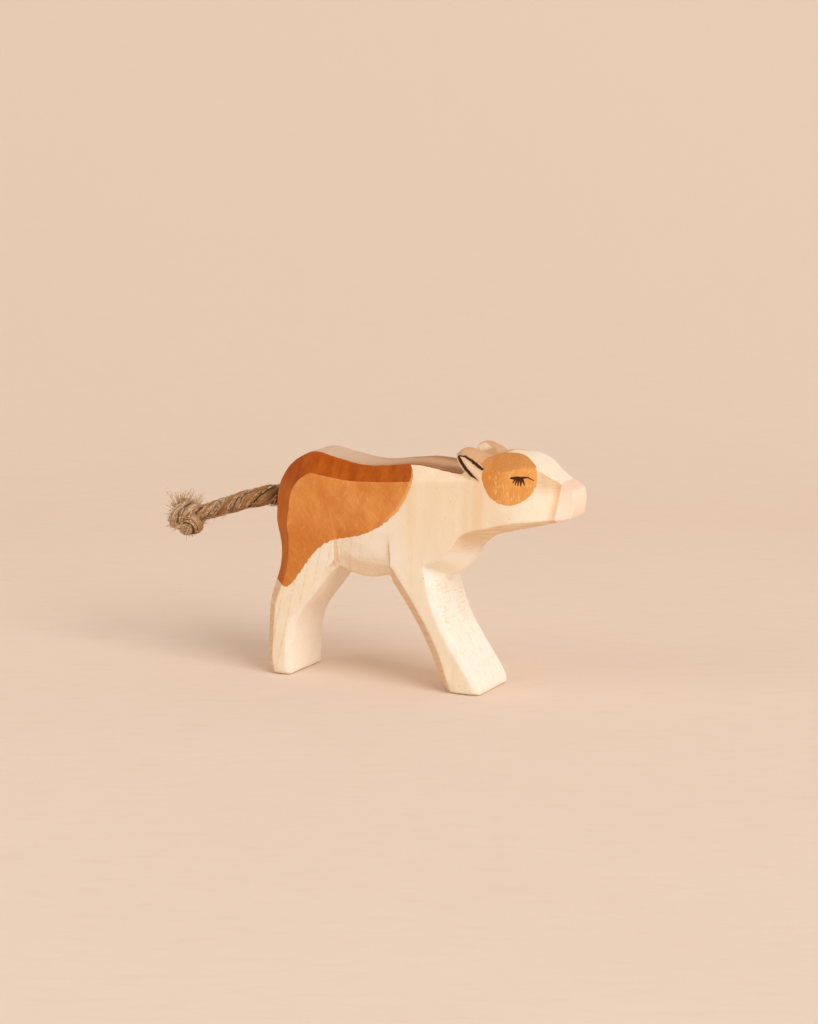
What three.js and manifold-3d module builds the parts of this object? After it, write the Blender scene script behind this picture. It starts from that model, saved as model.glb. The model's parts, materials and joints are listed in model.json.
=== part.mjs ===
// Hand-carved wooden toy calf with a rope tail.
// The animal is sawn from one plank and shaped with a knife, so legs, head and ears are one piece of wood.
// The tail is a length of laid rope, glued into a blind hole in the rump and knotted at its end.
// Millimetres, +X towards the muzzle, +Z up, origin on the floor under the middle of the wooden body.

import * as THREE from 'three';
import { mergeVertices } from 'three/addons/utils/BufferGeometryUtils.js';
import Module from 'manifold-3d';

const wasm = await Module();
wasm.setup();

// Plank
const PLANK_THICKNESS = 21;
const SAW_STEP = 1.5; // spacing of the points along a sawn curve

// Heights above the floor
const WITHERS_HEIGHT = 62.8;
const HOCK_HEIGHT = 35.5;
const STIFLE_HEIGHT = 32.3;
const PASTERN_HEIGHT = 2.8;

// Top line: rises above the withers and drops below them, and lengths along the plank
const NECK_REACH = 8; // from the withers forwards to the neck
const NECK_DROP = 0.8;
const NAPE_REACH = 8.1; // from the neck forwards to the nape
const NAPE_DROP = 1.5;
const SADDLE_REACH = 13.5; // from the withers back to the hollow of the back
const SADDLE_DROP = 1.4;
const RUMP_REACH = 18.2; // from that hollow back to the top of the rump
const RUMP_RISE = 1.2;
const PIN_BONE_REACH = 12.3; // from there back to the rearmost bulge
const PIN_BONE_DROP = 15.3;

// Rear leg
const HOCK_INSET = 2.5; // the hock stands this far ahead of the pin bone
const REAR_TOE_REACH = 3.7; // from the hock forwards to the toe
const REAR_FOOT_LENGTH = 6.6;
const STIFLE_REACH = 14.3; // from the toe forwards to the belly

// Front leg and chest
const ELBOW_SETBACK = 8.1; // the elbow lies this far behind the withers
const ELBOW_DROP = 1.1; // below the stifle
const FRONT_STRIDE = 28.5; // from the elbow forwards to the toe
const FRONT_FOOT_LENGTH = 9.4;
const FRONT_HEEL_OVERHANG = 3.2;
const BRISKET_REACH = 14.4; // from the elbow forwards to the top of the leg's front
const BRISKET_DROP = 1.7; // below the stifle
const DEWLAP_REACH = 10.9; // from there forwards to the front of the chest
const DEWLAP_DROP = 4; // below the throat

// Head in outline: drops below the brow, and lengths along the plank
const BROW_RISE = 3.8; // the brow stands this far above the withers
const EAR_ROOT_REACH = 5.4; // from the nape forwards to the ear's root
const EAR_ROOT_DROP = 1;
const EAR_LENGTH = 8.6;
const EAR_TIP_DROP = 0;
const CROWN_STEP = 1.2; // from the ear's root forwards to the crown
const CROWN_DROP = 0.2;
const CROWN_LENGTH = 6.3; // from the crown forwards to the brow
const FACE_LENGTH = 16.3; // from the brow forwards to the nose
const NOSE_DROP = 8.3;
const CHIN_SETBACK = 0.5; // the chin lies this far behind the nose
const MUZZLE_DEPTH = 7.9; // from the nose down to the chin
const JAW_LENGTH = 21.3; // from the chin back to the throat
const THROAT_DROP = 5.7; // below the chin

// Knife bevels along the sawn edges: width on the side face, then depth into the thickness
const SOLE_BEVEL = [0.7, 0.7];
const SHIN_BEVEL = [1.6, 1.6];
const BELLY_BEVEL = [2.4, 2.6];
const FOREARM_BACK_BEVEL = [3.4, 2.8];
const FRONT_HEEL_BEVEL = [2.2, 1.6];
const FRONT_TOE_BEVEL = [1.7, 1.5];
const FOREARM_FRONT_BEVEL = [1.9, 1.5];
const CHEST_BEVEL = [5, 9.2];
const DEWLAP_BEVEL = [4.2, 8.6];
const THROAT_BEVEL = [2.2, 4.2];
const JAW_BEVEL = [2, 5];
const MUZZLE_BEVEL = [1, 1];
const CROWN_BEVEL = [4, 5.2];
const EAR_BEVEL = [1.3, 2.8];
const EAR_BACK_BEVEL = [0.6, 0.8];
const NAPE_BEVEL = [1.6, 1.5];
const NECK_BEVEL = [3.4, 1.6];
const WITHERS_BEVEL = [4.9, 2.3];
const BACK_BEVEL = [4.1, 3.6];
const RUMP_BEVEL = [5.6, 4.6];
const PIN_BONE_BEVEL = [6.2, 4.6];
const HOCK_BEVEL = [3.5, 2.8];
const SHANK_BEVEL = [2.2, 2.2];

// Head, narrowed from the cheeks to the muzzle
const MUZZLE_LENGTH = 4; // from the nose back to the crease where the cheeks begin
const CHEEK_LENGTH = 15.3; // from that crease back to where the cheeks meet the plank's side faces
const MUZZLE_TOP_WIDTH = 9.6; // across the crease, at the bridge of the nose
const MUZZLE_JAW_WIDTH = 14; // across the crease, at the jaw
const NOSTRIL_TOP_WIDTH = 8.6; // front face of the muzzle, at its top
const NOSTRIL_JAW_WIDTH = 9; // front face of the muzzle, at its foot
const CHEEK_FULLNESS = 0.9; // how far the cheek bulges between its two ends
const CHEEK_OVERCUT = 2; // the cuts run this far past the head
const CHEEK_ROWS = 10; // rows of facets up the cheek

// Groove that parts the two ears
const EAR_GROOVE_WIDTH = 9.6;
const EAR_GROOVE_DEPTH = 1.2; // its floor, midway along the ears, lies this far below their root
const EAR_GROOVE_SLOPE = THREE.MathUtils.degToRad(20); // it falls towards the neck
const EAR_GROOVE_SIDES = 32;

// Hollow carved into each side of the belly, between thigh and shoulder
const HOLLOW_RISE = 11.2; // its upper edge stands this far above the stifle
const HOLLOW_KNEE_RISE = 3.3; // it turns under the belly this far above the stifle
const HOLLOW_DEPTH = 1.1; // depth at that turn
const HOLLOW_FOOT_DROP = 2.5; // just under the belly's lowest line
const HOLLOW_UNDERCUT = 3.4; // depth at that line
const HOLLOW_REAR_EXTRA = 0.8; // it is cut this much deeper beside the thigh
const HOLLOW_SHOULDER_REACH = 1.4; // its front wall stands this far in front of the elbow

// Tail: laid rope in a drilled hole
const ROPE_DIAMETER = 5;
const FIT_GAP = 0.3; // clearance between pieces that touch
const TAIL_RISE = 2.5; // the rope leaves the rump this far above the pin bone
const TAIL_HOLE_DEPTH = 13;
const GLUE_THICKNESS = 1.5;
const SWING_REACH = 3; // along the rope, from the rump to the bend that swings sideways
const LIFT_REACH = 10.2; // along the rope, from the rump to the bend that lifts
const ROPE_SIDES = 12;
const KNOT_REACH = 28; // along the rope, from the rump to the knot
const KNOT_LENGTH = 10;
const KNOT_DIAMETER = 11;
const KNOT_SWELL = [[0.82, 0.13], [1, 0.38], [0.98, 0.64], [0.78, 0.88]]; // [share of diameter, of length]
const TUFT_LENGTH = 1.9; // frayed end of the rope behind the knot
const TUFT_ROOT_DIAMETER = 4.4;
const TUFT_WIDE_DIAMETER = 6.4;
const TUFT_END_DIAMETER = 5.1;
const TUFT_WIDE_SHARE = 0.7; // share of its length where it is widest

// Course of the rope behind the rump: distance backwards, then drop
const TAIL_ROUTE = [
  [0, 0],
  [3, 0.5],
  [9.1, 1.6],
  [15.2, 3.4],
  [21.3, 5.5],
  [26.6, 7.3],
  [33, 9.2],
  [38.6, 10.8],
];

const WOOD = { color: 0xd9b88c, roughness: 0.62, metalness: 0 };
const ROPE = { color: 0x9c7a56, roughness: 0.95, metalness: 0 };
const GLUE = { color: 0xe6dcb8, roughness: 0.5, metalness: 0 };

const half = PLANK_THICKNESS / 2;
const ropeRadius = ROPE_DIAMETER / 2;
const holeRadius = ropeRadius + FIT_GAP;

// A closed mesh as a solid that can be joined and cut.
function solid(geometry) {
  const bare = geometry.clone();
  bare.deleteAttribute('normal');
  bare.deleteAttribute('uv');
  const merged = mergeVertices(bare);
  return new wasm.Manifold(new wasm.Mesh({
    numProp: 3,
    vertProperties: new Float32Array(merged.attributes.position.array),
    triVerts: new Uint32Array(merged.index.array),
  }));
}

// A solid back as a geometry, with flat facets.
function facets(body) {
  const { vertProperties, triVerts } = body.getMesh();
  const geometry = new THREE.BufferGeometry();
  geometry.setAttribute('position', new THREE.BufferAttribute(vertProperties, 3));
  geometry.setIndex(new THREE.BufferAttribute(triVerts, 1));
  const flat = geometry.toNonIndexed();
  flat.computeVertexNormals();
  return flat;
}

// Closed skin through equal rings of points, with both ends capped by the given triangles of a ring.
function loft(rings, capFaces) {
  const size = rings[0].length;
  const last = (rings.length - 1) * size;
  const faces = capFaces ?? rings[0].slice(2).map((_, i) => [0, i + 1, i + 2]);
  const index = faces.flatMap(([a, b, c]) => [a, b, c, last + a, last + c, last + b]);
  for (let ring = 0; ring < rings.length - 1; ring++) {
    for (let i = 0; i < size; i++) {
      const a = ring * size + i;
      const b = ring * size + (i + 1) % size;
      index.push(a, b + size, b, a, a + size, b + size);
    }
  }
  const geometry = new THREE.BufferGeometry().setFromPoints(rings.flat());
  return geometry.setIndex(index);
}

// Landmarks of the outline: x along the plank from the withers, y the height above the floor.
const landmark = (x, height) => new THREE.Vector2(x, height);
const withers = landmark(0, WITHERS_HEIGHT);
const saddle = landmark(-SADDLE_REACH, WITHERS_HEIGHT - SADDLE_DROP);
const rump = landmark(saddle.x - RUMP_REACH, WITHERS_HEIGHT + RUMP_RISE);
const pinBone = landmark(rump.x - PIN_BONE_REACH, WITHERS_HEIGHT - PIN_BONE_DROP);
const hock = landmark(pinBone.x + HOCK_INSET, HOCK_HEIGHT);
const rearToe = landmark(hock.x + REAR_TOE_REACH, 0);
const rearHeel = landmark(rearToe.x - REAR_FOOT_LENGTH, 0);
const stifle = landmark(rearToe.x + STIFLE_REACH, STIFLE_HEIGHT);
const elbow = landmark(-ELBOW_SETBACK, STIFLE_HEIGHT - ELBOW_DROP);
const frontToe = landmark(elbow.x + FRONT_STRIDE, 0);
const frontHeel = landmark(frontToe.x - FRONT_FOOT_LENGTH, 0);
const pastern = landmark(frontHeel.x - FRONT_HEEL_OVERHANG, PASTERN_HEIGHT);
const neck = landmark(NECK_REACH, WITHERS_HEIGHT - NECK_DROP);
const nape = landmark(neck.x + NAPE_REACH, WITHERS_HEIGHT - NAPE_DROP);
const browHeight = WITHERS_HEIGHT + BROW_RISE;
const earRoot = landmark(nape.x + EAR_ROOT_REACH, browHeight - EAR_ROOT_DROP);
const earTip = landmark(earRoot.x - EAR_LENGTH, browHeight - EAR_TIP_DROP);
const crown = landmark(earRoot.x + CROWN_STEP, browHeight - CROWN_DROP);
const brow = landmark(crown.x + CROWN_LENGTH, browHeight);
const nose = landmark(brow.x + FACE_LENGTH, browHeight - NOSE_DROP);
const chin = landmark(nose.x - CHIN_SETBACK, nose.y - MUZZLE_DEPTH);
const throat = landmark(chin.x - JAW_LENGTH, chin.y - THROAT_DROP);
const brisket = landmark(elbow.x + BRISKET_REACH, STIFLE_HEIGHT - BRISKET_DROP);
const dewlap = landmark(brisket.x + DEWLAP_REACH, throat.y - DEWLAP_DROP);

// Saw line of the calf, seen from its right side and drawn anticlockwise.
// Each run is one smooth stroke between corners. A leg of it leads to a landmark, and its bows give
// [share of the way, distance to the left] for the points that the stroke passes through.
const sawLine = [
  { from: rearHeel, bevel: SOLE_BEVEL, legs: [{ to: rearToe, bevel: SOLE_BEVEL, bows: [] }] },
  {
    from: rearToe, bevel: SHIN_BEVEL, legs: [{
      to: stifle, bevel: SHIN_BEVEL,
      bows: [[0.23, 3.4], [0.36, 4.7], [0.46, 4.9], [0.54, 4.5], [0.67, 3.3], [0.88, 1.4]],
    }],
  },
  {
    from: stifle, bevel: BELLY_BEVEL, legs: [
      { to: elbow, bevel: BELLY_BEVEL, bows: [[0.33, -1.7], [0.66, -1.6]] },
    ],
  },
  {
    from: elbow, bevel: FOREARM_BACK_BEVEL, legs: [
      { to: pastern, bevel: FOREARM_BACK_BEVEL, bows: [[0.28, 0.9], [0.56, 1.4], [0.8, 1]] },
      { to: frontHeel, bevel: FRONT_HEEL_BEVEL, bows: [] },
    ],
  },
  { from: frontHeel, bevel: SOLE_BEVEL, legs: [{ to: frontToe, bevel: SOLE_BEVEL, bows: [] }] },
  {
    from: frontToe, bevel: FRONT_TOE_BEVEL, legs: [{
      to: brisket, bevel: FOREARM_FRONT_BEVEL,
      bows: [[0.04, -0.8], [0.15, -0.7], [0.3, 0.1], [0.45, 0.9], [0.61, 1.5], [0.78, 1.4], [0.91, 0.9]],
    }],
  },
  {
    from: brisket, bevel: CHEST_BEVEL, legs: [
      { to: dewlap, bevel: DEWLAP_BEVEL, bows: [[0.31, -1.5], [0.53, -1.7], [0.82, -0.9]] },
      { to: throat, bevel: THROAT_BEVEL, bows: [[0.42, 0.4]] },
      { to: chin, bevel: JAW_BEVEL, bows: [[0.28, 0], [0.56, -0.1], [0.84, -0.1]] },
    ],
  },
  {
    from: chin, bevel: MUZZLE_BEVEL, legs: [
      { to: nose, bevel: MUZZLE_BEVEL, bows: [[0.3, -0.6], [0.6, -0.7]] },
    ],
  },
  {
    from: nose, bevel: MUZZLE_BEVEL, legs: [
      {
        to: brow, bevel: CROWN_BEVEL,
        bows: [[0.2, 0], [0.4, -0.2], [0.54, -0.5], [0.68, -0.8], [0.83, -0.9]],
      },
      { to: crown, bevel: CROWN_BEVEL, bows: [] },
      { to: earRoot, bevel: EAR_BEVEL, bows: [] },
      { to: earTip, bevel: EAR_BEVEL, bows: [[0.25, -0.9], [0.46, -1.5], [0.66, -1.8], [0.86, -1.5]] },
    ],
  },
  { from: earTip, bevel: EAR_BACK_BEVEL, legs: [{ to: nape, bevel: EAR_BACK_BEVEL, bows: [[0.5, -0.4]] }] },
  {
    from: nape, bevel: NAPE_BEVEL, legs: [
      { to: neck, bevel: NECK_BEVEL, bows: [[0.5, 0.1]] },
      { to: withers, bevel: WITHERS_BEVEL, bows: [[0.5, -0.2]] },
      { to: saddle, bevel: BACK_BEVEL, bows: [[0.48, 0]] },
      { to: rump, bevel: RUMP_BEVEL, bows: [[0.3, 0.5], [0.7, 0.2]] },
      {
        to: pinBone, bevel: PIN_BONE_BEVEL,
        bows: [[0.15, -2], [0.32, -3.3], [0.51, -3.7], [0.69, -3.2], [0.87, -1.7]],
      },
      { to: hock, bevel: HOCK_BEVEL, bows: [[0.37, -0.5], [0.71, 0]] },
      {
        to: rearHeel, bevel: SHANK_BEVEL,
        bows: [
          [0.1, 0], [0.23, -0.8], [0.33, -1.8], [0.42, -2.4],
          [0.56, -2.3], [0.71, -2.1], [0.86, -1.8], [0.94, -1.2],
        ],
      },
    ],
  },
];

// Points of one run, at most SAW_STEP apart, each with its bevel and its direction of travel.
function sawRun({ from, bevel, legs }) {
  const stops = [{ at: from, bevel }];
  for (const { to, bevel: endBevel, bows } of legs) {
    const start = stops.at(-1);
    const way = to.clone().sub(start.at);
    const left = new THREE.Vector2(-way.y, way.x).normalize();
    for (const [share, bow] of bows) {
      stops.push({
        at: start.at.clone().addScaledVector(way, share).addScaledVector(left, bow),
        bevel: start.bevel.map((value, i) => THREE.MathUtils.lerp(value, endBevel[i], share)),
      });
    }
    stops.push({ at: to, bevel: endBevel });
  }
  const stroke = new THREE.CatmullRomCurve3(stops.map(({ at }) => new THREE.Vector3(at.x, 0, at.y)));
  const straight = stops.length === 2;
  const points = [];
  stops.slice(1).forEach((stop, i) => {
    const before = stops[i];
    const steps = straight ? 1 : Math.ceil(before.at.distanceTo(stop.at) / SAW_STEP);
    for (let k = i ? 1 : 0; k <= steps; k++) {
      const along = (i + k / steps) / (stops.length - 1);
      points.push({
        at: stroke.getPoint(along),
        heading: stroke.getTangent(along),
        bevel: before.bevel.map((value, j) => THREE.MathUtils.lerp(value, stop.bevel[j], k / steps)),
      });
    }
  });
  return points;
}

// Corner of the bevelled side face, where the inner edges of two bevels meet.
function bevelCorner(before, after) {
  const [ax, az] = [-before.heading.z, before.heading.x];
  const [bx, bz] = [-after.heading.z, after.heading.x];
  const cross = ax * bz - az * bx;
  const [wa, wb] = [before.bevel[0], after.bevel[0]];
  return new THREE.Vector3((wa * bz - wb * az) / cross, 0, (ax * wb - bx * wa) / cross).add(before.at);
}

// The whole saw line: points on the plank's edge, and the side face that the bevels leave.
function sawnOutline() {
  const runs = sawLine.map(sawRun);
  return runs.flatMap((run, r) => run.slice(0, -1).map((point, i) => {
    const joint = i === 0;
    const before = joint ? runs.at(r - 1).at(-1) : point;
    const inward = new THREE.Vector3(-point.heading.z, 0, point.heading.x);
    return {
      edge: point.at,
      face: joint ? bevelCorner(before, point) : point.at.clone().addScaledVector(inward, point.bevel[0]),
      depth: (before.bevel[1] + point.bevel[1]) / 2,
    };
  }));
}

const outline = sawnOutline();

// The sawn plank with a bevel along every edge of both sides.
function bevelledPlank() {
  const level = (pick, y) => outline.map((point) => pick(point).clone().setY(y(point)));
  const rings = [
    level(({ face }) => face, () => -half),
    level(({ edge }) => edge, ({ depth }) => depth - half),
    level(({ edge }) => edge, ({ depth }) => half - depth),
    level(({ face }) => face, () => half),
  ];
  const flat = outline.map(({ face }) => new THREE.Vector2(face.x, face.z));
  const faces = THREE.ShapeUtils.triangulateShape(flat, []);
  return solid(loft(rings, faces));
}

// One cut made alike on both sides, from sections in order of x.
// They are drawn for the right side, where y is negative, anticlockwise as seen from the muzzle.
function bothSides(sections) {
  const right = sections.map((section) => section.toReversed());
  const left = sections.map((section) => section.map((p) => p.clone().setY(-p.y)));
  return solid(loft(right)).add(solid(loft(left)));
}

// Wood taken off the cheeks and off the front corners of the muzzle.
function cheekCuts() {
  const clear = PLANK_THICKNESS;
  const foot = throat.y - CHEEK_OVERCUT;
  const top = brow.y + CHEEK_OVERCUT;
  const ahead = nose.x + CHEEK_OVERCUT;
  const crease = nose.x - MUZZLE_LENGTH;
  // Section at one station, where the cut runs from the jaw's half width to the half width at the bridge
  const station = (x, topHalf, jawHalf) => {
    const cutLine = Array.from({ length: CHEEK_ROWS + 1 }, (_, i) => {
      const z = THREE.MathUtils.lerp(foot, top, i / CHEEK_ROWS);
      return [-THREE.MathUtils.mapLinear(z, chin.y, nose.y, jawHalf, topHalf), z];
    });
    return [...cutLine, [-clear, top], [-clear, foot]].map(([y, z]) => new THREE.Vector3(x, y, z));
  };
  const cheekStation = (share) => {
    const bulge = 4 * CHEEK_FULLNESS * share * (1 - share);
    const halfWidth = (muzzleWidth) => THREE.MathUtils.lerp(half, muzzleWidth / 2, share) + bulge;
    const x = crease - CHEEK_LENGTH * (1 - share);
    return station(x, halfWidth(MUZZLE_TOP_WIDTH), halfWidth(MUZZLE_JAW_WIDTH));
  };
  const steps = Math.ceil(CHEEK_LENGTH / SAW_STEP);
  const cheek = Array.from({ length: steps + 1 }, (_, i) => cheekStation(i / steps));
  cheek.push(station(ahead, MUZZLE_TOP_WIDTH / 2, MUZZLE_JAW_WIDTH / 2));
  const corner = [crease, (crease + nose.x) / 2, nose.x, ahead].map((x) => {
    const halfWidth = (rear, front) => THREE.MathUtils.mapLinear(x, crease, nose.x, rear / 2, front / 2);
    const topHalf = halfWidth(MUZZLE_TOP_WIDTH, NOSTRIL_TOP_WIDTH);
    const jawHalf = halfWidth(MUZZLE_JAW_WIDTH, NOSTRIL_JAW_WIDTH);
    return station(x, topHalf, jawHalf);
  });
  return bothSides(cheek).add(bothSides(corner));
}

// Round-bottomed groove between the ears, open to the neck.
function earGroove() {
  const radius = EAR_GROOVE_WIDTH / 2;
  const length = (EAR_LENGTH + radius) / Math.cos(EAR_GROOVE_SLOPE);
  const groove = new THREE.CylinderGeometry(radius, radius, length, EAR_GROOVE_SIDES);
  groove.rotateZ(Math.PI / 2 + EAR_GROOVE_SLOPE);
  groove.rotateX(Math.PI / 2);
  const middle = (earTip.x + earRoot.x) / 2;
  return solid(groove.translate(middle, 0, earRoot.y - EAR_GROOVE_DEPTH + radius));
}

// Shallow hollow along each side of the belly, which turns under at its lower edge.
function bellyHollows() {
  const section = (x, extra) => [
    [-half, HOLLOW_RISE],
    [-half - HOLLOW_UNDERCUT, HOLLOW_RISE],
    [-half - HOLLOW_UNDERCUT, -HOLLOW_FOOT_DROP],
    [HOLLOW_UNDERCUT + extra - half, -HOLLOW_FOOT_DROP],
    [HOLLOW_DEPTH + extra - half, HOLLOW_KNEE_RISE],
  ].map(([y, rise]) => new THREE.Vector3(x, y, stifle.y + rise));
  return bothSides([section(stifle.x, HOLLOW_REAR_EXTRA), section(elbow.x + HOLLOW_SHOULDER_REACH, 0)]);
}

// Where the rope leaves the rump, on the rearmost part of the saw line.
function tailMouth() {
  const height = pinBone.y + TAIL_RISE;
  const rear = outline.map(({ edge }) => edge).filter(({ x }) => x < saddle.x);
  const last = rear.findLastIndex(({ z }) => z >= height);
  const [above, below] = rear.slice(last, last + 2);
  const x = THREE.MathUtils.mapLinear(height, above.z, below.z, above.x, below.x);
  return new THREE.Vector3(x, 0, height);
}

const mouth = tailMouth();
const tailCourse = new THREE.CatmullRomCurve3(
  TAIL_ROUTE.map(([back, drop]) => new THREE.Vector3(mouth.x - back, 0, mouth.z - drop)),
);
const tailLength = tailCourse.getLength();
const onTail = (reach) => tailCourse.getPointAt(reach / tailLength);
const tailHeading = (reach) => tailCourse.getTangentAt(reach / tailLength);

// Turned shape set along a direction, from profile points [radius, distance along].
function turned(profile, start, heading, sides) {
  const lathe = new THREE.LatheGeometry(profile.map(([r, d]) => new THREE.Vector2(r, d)), sides);
  lathe.applyQuaternion(new THREE.Quaternion().setFromUnitVectors(new THREE.Vector3(0, 1, 0), heading));
  return lathe.translate(start.x, start.y, start.z);
}

// Straight round piece on the line of the tail hole, between two depths behind the mouth.
function inHole(radius, nearDepth, farDepth) {
  const inwards = tailHeading(0).negate();
  const start = mouth.clone().addScaledVector(inwards, nearDepth);
  const length = farDepth - nearDepth;
  return turned([[0, 0], [radius, 0], [radius, length], [0, length]], start, inwards, ROPE_SIDES);
}

// The part of the tail's course between two reaches.
class TailStretch extends THREE.Curve {
  constructor(from, to) {
    super();
    this.from = from;
    this.to = to;
  }

  getPoint(share) {
    return onTail(THREE.MathUtils.lerp(this.from, this.to, share));
  }
}

// One stretch of rope that starts with a round end about its bend and stops with a square one.
function ropeStretch(bendReach, endReach) {
  const steps = Math.max(4, Math.round((endReach - bendReach) / ropeRadius));
  const corners = Array.from({ length: ROPE_SIDES }, (_, i) => {
    const turn = 2 * Math.PI * i / ROPE_SIDES;
    return new THREE.Vector2(ropeRadius * Math.cos(turn), ropeRadius * Math.sin(turn));
  });
  const extrudePath = new TailStretch(bendReach, endReach);
  const course = { steps, extrudePath, bevelEnabled: false };
  const tube = new THREE.ExtrudeGeometry(new THREE.Shape(corners), course);
  const bend = onTail(bendReach);
  const dome = new THREE.SphereGeometry(ropeRadius, ROPE_SIDES, ROPE_SIDES / 2);
  dome.translate(bend.x, bend.y, bend.z);
  return facets(solid(tube).add(solid(dome)));
}

// Knot at the end of the rope, flat where the rope and its frayed end meet it.
function knot() {
  const profile = [
    [0, 0],
    [ropeRadius, 0],
    ...KNOT_SWELL.map(([width, length]) => [width * KNOT_DIAMETER / 2, length * KNOT_LENGTH]),
    [TUFT_ROOT_DIAMETER / 2, KNOT_LENGTH],
    [0, KNOT_LENGTH],
  ];
  return turned(profile, onTail(KNOT_REACH), tailHeading(KNOT_REACH), 2 * ROPE_SIDES);
}

// Frayed end of the rope, as one short flared brush behind the knot.
function tuft() {
  const start = onTail(KNOT_REACH).addScaledVector(tailHeading(KNOT_REACH), KNOT_LENGTH + FIT_GAP);
  const profile = [
    [0, 0],
    [TUFT_ROOT_DIAMETER / 2, 0],
    [TUFT_WIDE_DIAMETER / 2, TUFT_WIDE_SHARE * TUFT_LENGTH],
    [TUFT_END_DIAMETER / 2, TUFT_LENGTH],
    [0, TUFT_LENGTH],
  ];
  return turned(profile, start, tailHeading(KNOT_REACH), ROPE_SIDES);
}

function carvedBody() {
  const outsideMouth = -holeRadius;
  return facets(bevelledPlank()
    .subtract(cheekCuts())
    .subtract(earGroove())
    .subtract(bellyHollows())
    .subtract(solid(inHole(holeRadius, outsideMouth, TAIL_HOLE_DEPTH))));
}

// Each stretch of rope stops square, just short of the round end that turns about the next bend.
const bendRoom = ropeRadius + FIT_GAP;
const glueTop = TAIL_HOLE_DEPTH - FIT_GAP - GLUE_THICKNESS;
const pieces = [
  ['body', carvedBody(), WOOD],
  ['tail_glue', inHole(ropeRadius, glueTop, TAIL_HOLE_DEPTH - FIT_GAP), GLUE],
  ['tail_shank', inHole(ropeRadius, bendRoom - SWING_REACH, glueTop - FIT_GAP), ROPE],
  ['tail_root', ropeStretch(SWING_REACH, LIFT_REACH - bendRoom), ROPE],
  ['tail_rope', ropeStretch(LIFT_REACH, KNOT_REACH - FIT_GAP), ROPE],
  ['tail_knot', knot(), ROPE],
  ['tail_tuft', tuft(), ROPE],
];

const calf = new THREE.Group();
for (const [name, geometry, finish] of pieces) {
  const mesh = new THREE.Mesh(geometry, new THREE.MeshStandardMaterial(finish));
  mesh.name = name;
  calf.add(mesh);
}
const reach = new THREE.Box3().setFromPoints(outline.map(({ edge }) => edge));
calf.children.forEach((mesh) => mesh.position.setX(-(reach.min.x + reach.max.x) / 2));

export default calf;
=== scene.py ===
# %% [markdown]
# # A carved wooden calf with a rope tail
# The toy is one block of pale wood, shaped with saw, knife and sandpaper, thinly stained in a few
# places, with a short piece of laid rope glued into the rump. The plain solids are loaded first, as a
# frame that fixes every size and place. Each step then dresses one piece of it.

# %% Load the solids
import json
import math
import random
from functools import reduce

import bpy
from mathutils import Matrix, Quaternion, Vector
from mathutils.geometry import interpolate_bezier

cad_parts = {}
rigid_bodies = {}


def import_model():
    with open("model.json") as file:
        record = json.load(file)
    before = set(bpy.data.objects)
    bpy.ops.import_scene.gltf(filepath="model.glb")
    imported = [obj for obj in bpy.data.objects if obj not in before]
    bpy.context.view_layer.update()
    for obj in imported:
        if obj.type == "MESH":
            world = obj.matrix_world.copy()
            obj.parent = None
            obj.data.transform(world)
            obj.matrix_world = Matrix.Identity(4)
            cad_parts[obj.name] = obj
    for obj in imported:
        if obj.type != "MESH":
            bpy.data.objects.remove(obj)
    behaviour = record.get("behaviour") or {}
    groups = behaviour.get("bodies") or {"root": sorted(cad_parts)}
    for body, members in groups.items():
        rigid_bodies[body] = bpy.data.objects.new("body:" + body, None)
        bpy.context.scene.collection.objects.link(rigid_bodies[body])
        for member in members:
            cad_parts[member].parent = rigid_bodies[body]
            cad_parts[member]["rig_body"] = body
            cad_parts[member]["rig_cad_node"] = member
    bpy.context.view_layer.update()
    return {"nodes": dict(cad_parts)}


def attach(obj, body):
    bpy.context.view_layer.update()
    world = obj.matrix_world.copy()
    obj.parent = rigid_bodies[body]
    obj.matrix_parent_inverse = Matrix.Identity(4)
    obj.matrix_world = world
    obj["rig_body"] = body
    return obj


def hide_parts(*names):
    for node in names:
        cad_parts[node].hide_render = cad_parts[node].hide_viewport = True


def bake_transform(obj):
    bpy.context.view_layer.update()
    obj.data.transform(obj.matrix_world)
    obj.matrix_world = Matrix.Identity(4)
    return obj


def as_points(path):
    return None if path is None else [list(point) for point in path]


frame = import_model()
MM = 0.001
print("solids:", sorted(frame["nodes"]))

# %% [markdown]
# ## Camera
# The picture looks at the calf's right side, turned a little towards its chest and from slightly above.
# A long lens keeps the legs nearly parallel, so the camera stands well back.

# %% Set up the camera
AZIMUTH = math.radians(25.842)
ELEVATION = math.radians(10.098)
CAMERA_DISTANCE = 787.9 * MM
LENS, SENSOR_WIDTH = 100, 36
aim = Vector((-5.58, 0, 47.71)) * MM
look = Vector((
    -math.sin(AZIMUTH) * math.cos(ELEVATION),
    math.cos(AZIMUTH) * math.cos(ELEVATION),
    -math.sin(ELEVATION),
))
bpy.ops.object.camera_add(
    location=aim - look * CAMERA_DISTANCE,
    rotation=look.to_track_quat("-Z", "Y").to_euler(),
)
camera = bpy.context.object
camera.data.lens = LENS
camera.data.sensor_width = SENSOR_WIDTH
camera.data.clip_start = 10 * MM
bpy.context.scene.camera = camera
print("camera at", [round(v, 3) for v in camera.location])

# %% [markdown]
# ## The tail's line
# The tail is stiff hemp rope. It leaves the rump nearly level and droops a little towards its knot. A
# Bezier curve through a few points gives the line that everything on the tail follows. Each point also
# carries the rope's thickness, which shrinks towards the knot.

# %% Draw the line of the tail
MOUTH = Vector((-43.851, 0, 50)) * MM
HOLE_DIRECTION = Vector((0.98639, 0, 0.16439))
ROPE_IN_HOLE = 11 * MM
TAIL_ROUTE = [(3, 0.5), (9.1, 1.6), (15.2, 3.4), (21.3, 5.5), (26.6, 7.3), (33, 9.2), (38.6, 10.8)]
ROPE_SWELL = [0.98, 1.1, 1.2, 1.14, 1.04, 0.97, 0.9, 0.86, 0.84]
CURVE_STEPS = 16


def clear_selection():
    bpy.ops.object.select_all(action="DESELECT")


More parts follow.
